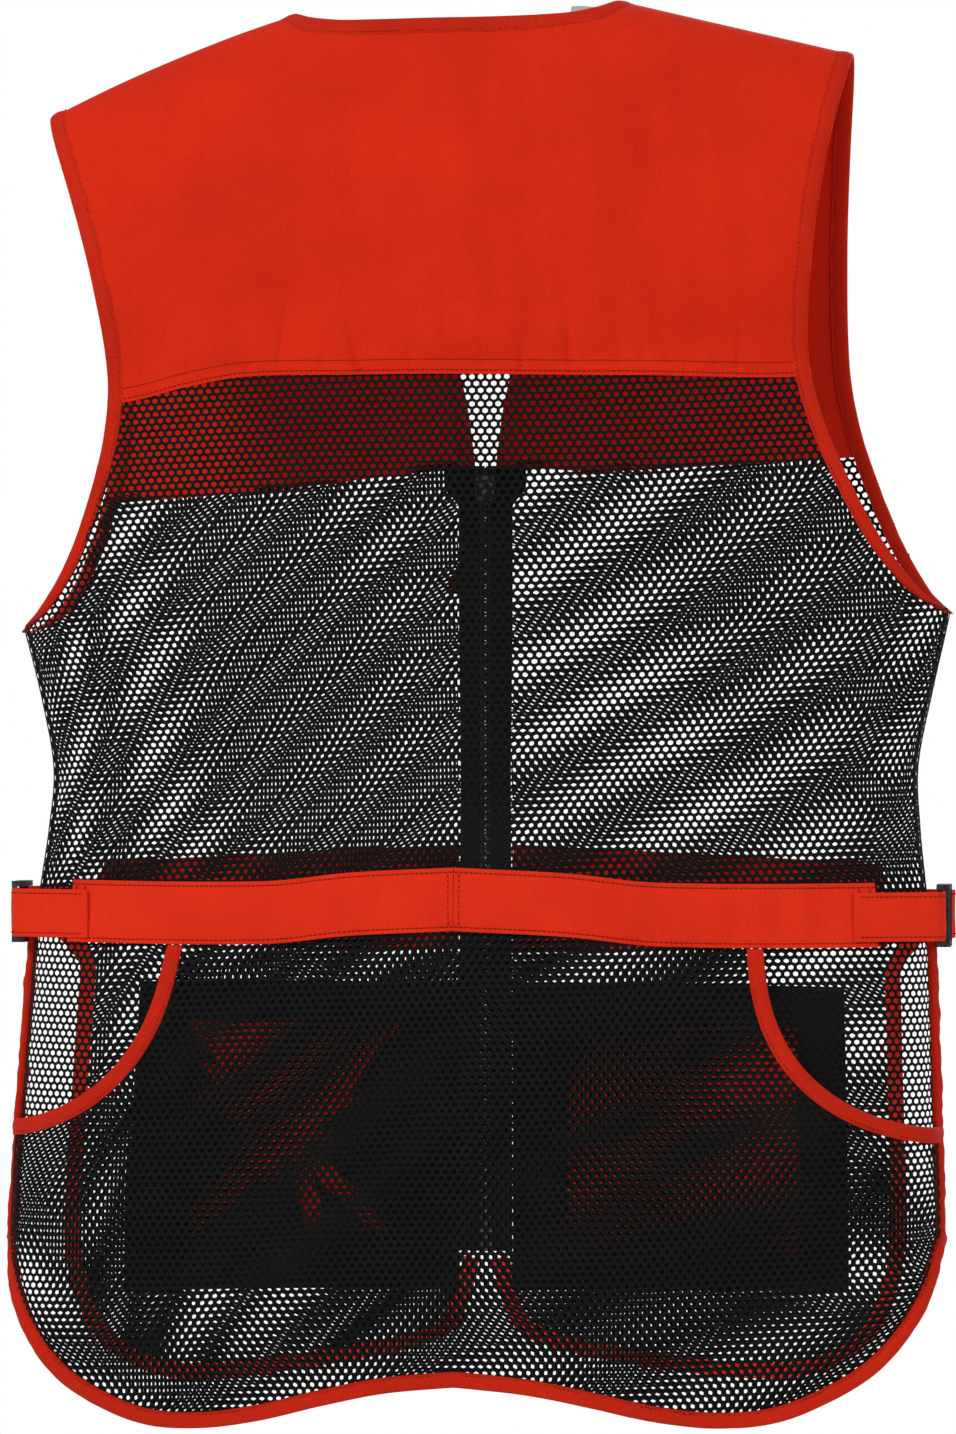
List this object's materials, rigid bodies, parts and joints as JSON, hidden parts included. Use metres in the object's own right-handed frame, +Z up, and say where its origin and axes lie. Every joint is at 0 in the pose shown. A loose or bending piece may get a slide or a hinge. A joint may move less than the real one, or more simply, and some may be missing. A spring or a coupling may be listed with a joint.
{
  "type": "mesh shooting vest",
  "caption": "Sleeveless mesh-bodied field vest with orange yokes, bound edges, front zip, bellows pockets, adjustable waist belt and a rear pouch with side mouths.",
  "frame": {"origin": "on the shoulder line, midway between the two neck points, where the vest rests on the wearer or a hanger", "axes": "+Z up, +Y out of the back, -Y out of the front, +X towards the wearer's left"},
  "size_m": [0.5361, 0.1603, 0.7957],
  "materials": {
    "orange_poplin": "matt woven polyester-cotton poplin",
    "orange_binding": "folded poplin binding with two rows of stitching",
    "orange_belt": "doubled poplin with topstitched edges",
    "black_mesh": "open warp-knitted hexagon mesh",
    "black_cloth": "plain black polyester cloth",
    "quilted_pad": "quilted poplin over foam",
    "zip_tape": "woven zip tape",
    "zip_teeth": "moulded acetal",
    "zip_metal": "satin black enamel",
    "buckle": "moulded nylon",
    "label": "blank woven satin"
  },
  "bodies": {
    "vest_back": {"back_yoke": "orange_poplin", "back_mesh": "black_mesh", "game_bag_mesh": "black_mesh", "bag_binding_left": "orange_binding", "bag_binding_right": "orange_binding", "waist_belt_left": "orange_belt", "waist_belt_right": "orange_belt", "neck_binding": "orange_binding", "armhole_binding_left": "orange_binding", "armhole_binding_right": "orange_binding", "back_hem_binding": "orange_binding", "front_yoke_left": "orange_poplin", "front_yoke_right": "orange_poplin", "shoulder_pad_left": "quilted_pad", "shoulder_pad_right": "quilted_pad", "side_seam_tape_left": "black_cloth", "side_seam_tape_right": "black_cloth", "side_strap_left": "orange_belt", "side_strap_right": "orange_belt", "size_label": "label", "hang_loop": "orange_binding"},
    "front_left": {"front_mesh_left": "black_mesh", "front_waistband_left": "orange_poplin", "front_strap_left": "orange_belt", "front_hem_binding_left": "orange_binding", "front_armhole_binding_left": "orange_binding", "zip_tape_left": "zip_tape", "zip_chain_left": "zip_teeth", "zip_top_stop_left": "zip_teeth", "pocket_backing_left": "black_cloth", "pocket_gusset_left": "black_cloth", "zip_box": "zip_teeth"},
    "front_right": {"front_mesh_right": "black_mesh", "front_waistband_right": "orange_poplin", "front_strap_right": "orange_belt", "front_hem_binding_right": "orange_binding", "front_armhole_binding_right": "orange_binding", "zip_tape_right": "zip_tape", "zip_chain_right": "zip_teeth", "zip_top_stop_right": "zip_teeth", "pocket_backing_right": "black_cloth", "pocket_gusset_right": "black_cloth", "zip_pin": "zip_teeth"},
    "zip_slider": {"zip_slider": "zip_metal"},
    "zip_pull": {"zip_pull": "zip_metal", "pull_ribbon": "orange_binding"},
    "pocket_left": {"pocket_front_left": "orange_poplin", "pocket_mouth_left": "orange_poplin"},
    "pocket_right": {"pocket_front_right": "orange_poplin", "pocket_mouth_right": "orange_poplin"},
    "tri_glide_left": {"tri_glide_left": "buckle"},
    "tri_glide_right": {"tri_glide_right": "buckle"}
  },
  "joints": [
    {"name": "front_left_swing", "type": "hinge", "parent": "vest_back", "child": "front_left", "pos_m": [0.2575, 0, -0.5], "axis": [0, 0, 1], "range_deg": [0, 35]},
    {"name": "front_right_swing", "type": "hinge", "parent": "vest_back", "child": "front_right", "pos_m": [-0.2745, 0, -0.5], "axis": [0, 0, 1], "range_deg": [-35, 0]},
    {"name": "zip_slide", "type": "slide", "parent": "front_left", "child": "zip_slider", "axis": [0, 0, -1], "range_m": [0, 0.409]},
    {"name": "pull_swing", "type": "hinge", "parent": "zip_slider", "child": "zip_pull", "pos_m": [0, -0.0672, -0.2619], "axis": [-1, 0, 0], "range_deg": [0, 150]},
    {"name": "pocket_left_expand", "type": "slide", "parent": "front_left", "child": "pocket_left", "axis": [0, -1, 0], "range_m": [0, 0.025], "deforming": ["pocket_gusset_left"]},
    {"name": "pocket_right_expand", "type": "slide", "parent": "front_right", "child": "pocket_right", "axis": [0, -1, 0], "range_m": [0, 0.025], "deforming": ["pocket_gusset_right"]},
    {"name": "tri_glide_left_slide", "type": "slide", "parent": "vest_back", "child": "tri_glide_left", "axis": [0, 1, 0], "range_m": [-0.006, 0.009]},
    {"name": "tri_glide_right_slide", "type": "slide", "parent": "vest_back", "child": "tri_glide_right", "axis": [0, 1, 0], "range_m": [-0.006, 0.009]}
  ],
  "couplings": [
    {"joint": "front_right_swing", "follows": "front_left_swing", "ratio": -1}
  ]
}
